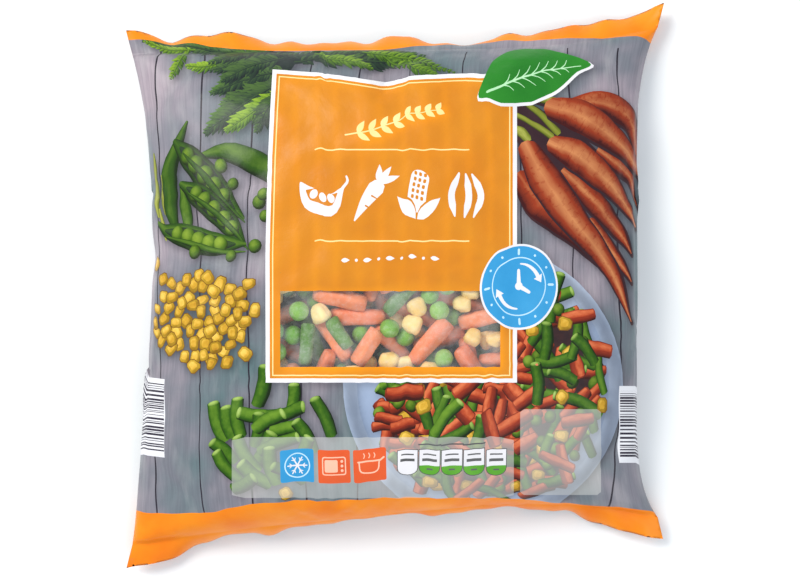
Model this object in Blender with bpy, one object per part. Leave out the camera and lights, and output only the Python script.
"""Frozen vegetable bag: a sealed pillow pack of printed film, full of loose frozen vegetables,
lying on its back.

The bag is one closed soft solid in metres. +X runs across the bag to the right, +Y up the bag to
the top seal, and +Z out of the shown front. The film is a flat tube, sealed straight across both
ends. Filling it draws the waist in, leaves the four corners standing out as flat ears, and tips
the end fins over. Run with: blender --background --python part.py
"""

import math

import bmesh
import bpy
from mathutils import Vector

# ---- Outline of the filled bag ---------------------------------------------------------------
WAIST_HALF = 0.1188         # half width at mid length, where the filling draws the sides in
CORNER_HALF = 0.1302        # half width at the end seals, where the film is still flat
SIDE_POWER_LEFT = 2.6       # how late the left side flares towards the corners
SIDE_POWER_RIGHT = 6.0      # and the right side
END_MIDDLE_TOP = 0.1160     # centre to the top seal line, at mid width
END_MIDDLE_BOTTOM = 0.1120  # centre to the bottom seal line, at mid width
END_CORNER = 0.1215         # centre to the seal line, at the side edges
END_POWER = 3.0             # how late the seal line sweeps out to the corners
END_SKEW = 0.0060           # how much further out a seal line bulges on the left than the right
BODY_LEAN = math.radians(-1.0)   # the bag's middle is skewed a little one way
END_LEAN = math.radians(3.0)     # and both its seals a little the other way

# ---- Thickness -------------------------------------------------------------------------------
CROWN = 0.0500              # height of the front's crown above the surface it lies on
SEAM_WAIST = 0.0200         # height of the side edge at the waist, and of the seals' middles
SEAM_CORNER = 0.0090        # height of the corners
SEAM_POWER = 1.6            # how late the edges drop to the corners
END_FULLNESS = (3.4, 0.62)  # profile along the bag: 1 - (distance from the middle)^a, to the power b
SECTION_MIDDLE = 3.1        # cross-section power at the waist: full, with rounded sides
SECTION_END = 2.0           # cross-section power at the seals: a flat lens
BASE_FULLNESS = 0.040       # depth the back would reach if no surface held it flat
BASE_EASE = 1.5             # how gently the back eases down onto the surface

# ---- End fins --------------------------------------------------------------------------------
FIN_DEPTH = 0.0120          # from the seal line to the cut edge of the film
FIN_THICKNESS = 0.0012      # both films at the seal line, closing to the cut edge
FIN_FLARE = 0.0032          # how much further out its corners reach at the cut edge
FIN_DROOP_TOP = math.radians(64.0)      # the top fin tips down at mid width
FIN_DROOP_BOTTOM = math.radians(86.0)   # the bottom fin hangs at mid width
FIN_DROOP_CORNER = math.radians(6.0)    # and both lie out flat at the corners
DROOP_POWER = 2.6
FIN_RIPPLE = 0.0012         # up and down waves of the fin's edge
FIN_RIPPLE_LENGTH = 0.058
TUCK_X = -0.1100            # the top fin is kinked here, near its left end
TUCK_WIDTH = 0.0060
TUCK_DROP = math.radians(30.0)

# ---- Puckers ---------------------------------------------------------------------------------
SIDE_PUCKER = 0.0011        # folds of slack film that run in from the side edges
SIDE_PUCKER_LENGTH = 0.031
END_PUCKER = 0.0012         # folds that run in from the seals
END_PUCKER_LENGTH = 0.036
PUCKER_REACH = 0.15         # share of the bag from the edge to where the folds are deepest
EDGE_WAVE = 0.0007          # in and out waves of the side edge
EDGE_WAVE_LENGTH = 0.047

# ---- Fineness of the surface -----------------------------------------------------------------
CELLS_ACROSS = 38
CELLS_ALONG = 38
FIN_CELLS = 2
MERGE = 0.00001             # points closer than this are one point of the side edge

FILM_COLOUR = (0.86, 0.42, 0.08, 1.0)


def clear_scene():
    """Start from an empty file without closing it."""
    for item in list(bpy.data.objects):
        bpy.data.objects.remove(item, do_unlink=True)


def blend(near, far, share):
    return near + (far - near) * share


def half_width(across, along):
    """Half width of the bag at a share of its length, 0 at the waist and 1 at a seal."""
    flare_left, flare_right = (abs(along) ** power for power in (SIDE_POWER_LEFT, SIDE_POWER_RIGHT))
    return blend(WAIST_HALF, CORNER_HALF, blend(flare_left, flare_right, 0.5 + 0.5 * across))


def half_length(across, end):
    """Centre to the seal line at a share of the width, 0 in the middle and 1 at an edge."""
    middle = END_MIDDLE_TOP if end > 0 else END_MIDDLE_BOTTOM
    skew = END_SKEW * across * (1.0 - across ** 2)
    return blend(middle, END_CORNER, abs(across) ** END_POWER) - skew


def fullness(across, along):
    """How far the film stands off the seam's plane, from 0 at the edges to 1 at the crown."""
    profile_power, profile_root = END_FULLNESS
    lengthways = (1.0 - abs(along) ** profile_power) ** profile_root
    section = blend(SECTION_MIDDLE, SECTION_END, along ** 2)
    crossways = math.sqrt(1.0 - abs(across) ** section)
    return lengthways * crossways


def seam_height(across, along):
    """Height of the plane where front and back film meet: it drops towards the corners."""
    drop = (abs(across) * abs(along)) ** SEAM_POWER
    return blend(SEAM_WAIST, SEAM_CORNER, drop)


def rest_on_surface(height, sag):
    """Ease a height down by a sag, to exactly 0 where the bag's weight presses it flat."""
    left = 1.0 - min(1.0, sag / height)
    return height * left ** BASE_EASE


def puckers(across, along, x, y):
    """Shallow folds that fade in from the side edges and from the two seals."""
    from_side = (1.0 - abs(across)) / PUCKER_REACH
    from_end = (1.0 - abs(along)) / PUCKER_REACH
    side_part = from_side * math.exp(1.0 - from_side) * (1.0 - along ** 4)
    end_part = from_end * math.exp(1.0 - from_end) * (1.0 - across ** 4)
    slant = math.copysign(1.0, x) * y * abs(along)
    side_fold = math.sin(2.0 * math.pi * (y + 0.35 * abs(x)) / SIDE_PUCKER_LENGTH)
    end_fold = math.sin(2.0 * math.pi * (x + 0.30 * slant) / END_PUCKER_LENGTH)
    return SIDE_PUCKER * side_part * side_fold + END_PUCKER * end_part * end_fold


def fin_droop(across, x, end):
    """Angle that a fin tips down by, with the kink near the left end of the top one."""
    middle = FIN_DROOP_TOP if end > 0 else FIN_DROOP_BOTTOM
    droop = blend(middle, FIN_DROOP_CORNER, abs(across) ** DROOP_POWER)
    if end > 0:
        droop += TUCK_DROP * math.exp(-((x - TUCK_X) / TUCK_WIDTH) ** 2)
    return droop


def lean(x, along):
    """Shift along the bag that skews its middle one way and its seals the other."""
    return x * math.tan(blend(BODY_LEAN, END_LEAN, along ** 2))


def film_point(u, v, side):
    """Point of the film. u and v run from -1 to 1 across the bag and from seal to seal, and a v
    past 1 or -1 is on a fin, 1 further at its cut edge. side is 1 on the front, -1 on the back."""
    end = math.copysign(1.0, v)
    across = math.sin(0.5 * math.pi * u)
    along = math.sin(0.5 * math.pi * max(-1.0, min(1.0, v)))
    on_fin = max(0.0, abs(v) - 1.0)

    edge_wave = EDGE_WAVE * math.sin(2.0 * math.pi * along * END_CORNER / EDGE_WAVE_LENGTH)
    x = across * (half_width(across, along) + edge_wave + FIN_FLARE * on_fin)
    y = along * half_length(across, end)
    gap = 0.5 * FIN_THICKNESS * math.sqrt(max(0.0, 1.0 - across ** 2))
    gap *= math.sqrt(max(0.0, 1.0 - on_fin ** 2))

    if on_fin > 0.0:
        droop = fin_droop(across, x, end)
        out = FIN_DEPTH * on_fin
        ripple = FIN_RIPPLE * on_fin * math.sin(2.0 * math.pi * x / FIN_RIPPLE_LENGTH)
        y += end * (out * math.cos(droop) + side * gap * math.sin(droop))
        z = seam_height(across, along) - out * math.sin(droop) + ripple + side * gap * math.cos(droop)
    else:
        stand_off = fullness(across, along)
        seam = seam_height(across, along)
        if side > 0:
            z = seam + gap + (CROWN - SEAM_WAIST) * stand_off + puckers(across, along, x, y)
        else:
            z = rest_on_surface(seam - gap, BASE_FULLNESS * stand_off)
    return Vector((x, y + lean(x, along), z))


def rows_of_v():
    """Stations along the bag: the bottom fin's, the body's and the top fin's."""
    fin = [(step + 1) / FIN_CELLS for step in range(FIN_CELLS)]
    bottom = [-1.0 - out for out in reversed(fin)]
    body = [-1.0 + 2.0 * step / CELLS_ALONG for step in range(CELLS_ALONG + 1)]
    top = [1.0 + out for out in fin]
    return bottom + body + top


def add_film(work, side):
    """Lay one flat grid of film and move its points onto the front or the back of the bag."""
    stations = rows_of_v()
    grid = bmesh.ops.create_grid(
        work, x_segments=CELLS_ACROSS, y_segments=len(stations) - 1, size=1.0)
    for corner in grid["verts"]:
        row = round(0.5 * (corner.co.y + 1.0) * (len(stations) - 1))
        corner.co = film_point(corner.co.x, stations[row], side)


def centre_on_base(work):
    """Put the origin at the middle of the bag's box, on the surface that it lies on."""
    lows = [min(corner.co[axis] for corner in work.verts) for axis in range(3)]
    highs = [max(corner.co[axis] for corner in work.verts) for axis in range(3)]
    middle = Vector((0.5 * (lows[0] + highs[0]), 0.5 * (lows[1] + highs[1]), lows[2]))
    bmesh.ops.translate(work, verts=work.verts, vec=-middle)


def make_film_material():
    material = bpy.data.materials.new("printed_film")
    material.use_nodes = True
    shader = material.node_tree.nodes["Principled BSDF"]
    shader.inputs["Base Color"].default_value = FILM_COLOUR
    shader.inputs["Roughness"].default_value = 0.32
    shader.inputs["Metallic"].default_value = 0.0
    return material


def make_bag(collection):
    """The whole bag with what fills it: one solid, pressed flat where it lies."""
    work = bmesh.new()
    add_film(work, 1)
    add_film(work, -1)
    bmesh.ops.remove_doubles(work, verts=work.verts, dist=MERGE)
    bmesh.ops.recalc_face_normals(work, faces=work.faces)
    centre_on_base(work)
    mesh = bpy.data.meshes.new("bag")
    work.to_mesh(mesh)
    work.free()
    mesh.shade_smooth()
    bag = bpy.data.objects.new("bag", mesh)
    bag.data.materials.append(make_film_material())
    collection.objects.link(bag)
    return bag


def main():
    clear_scene()
    collection = bpy.data.collections.new("frozen_vegetable_bag")
    bpy.context.scene.collection.children.link(collection)
    make_bag(collection)


main()
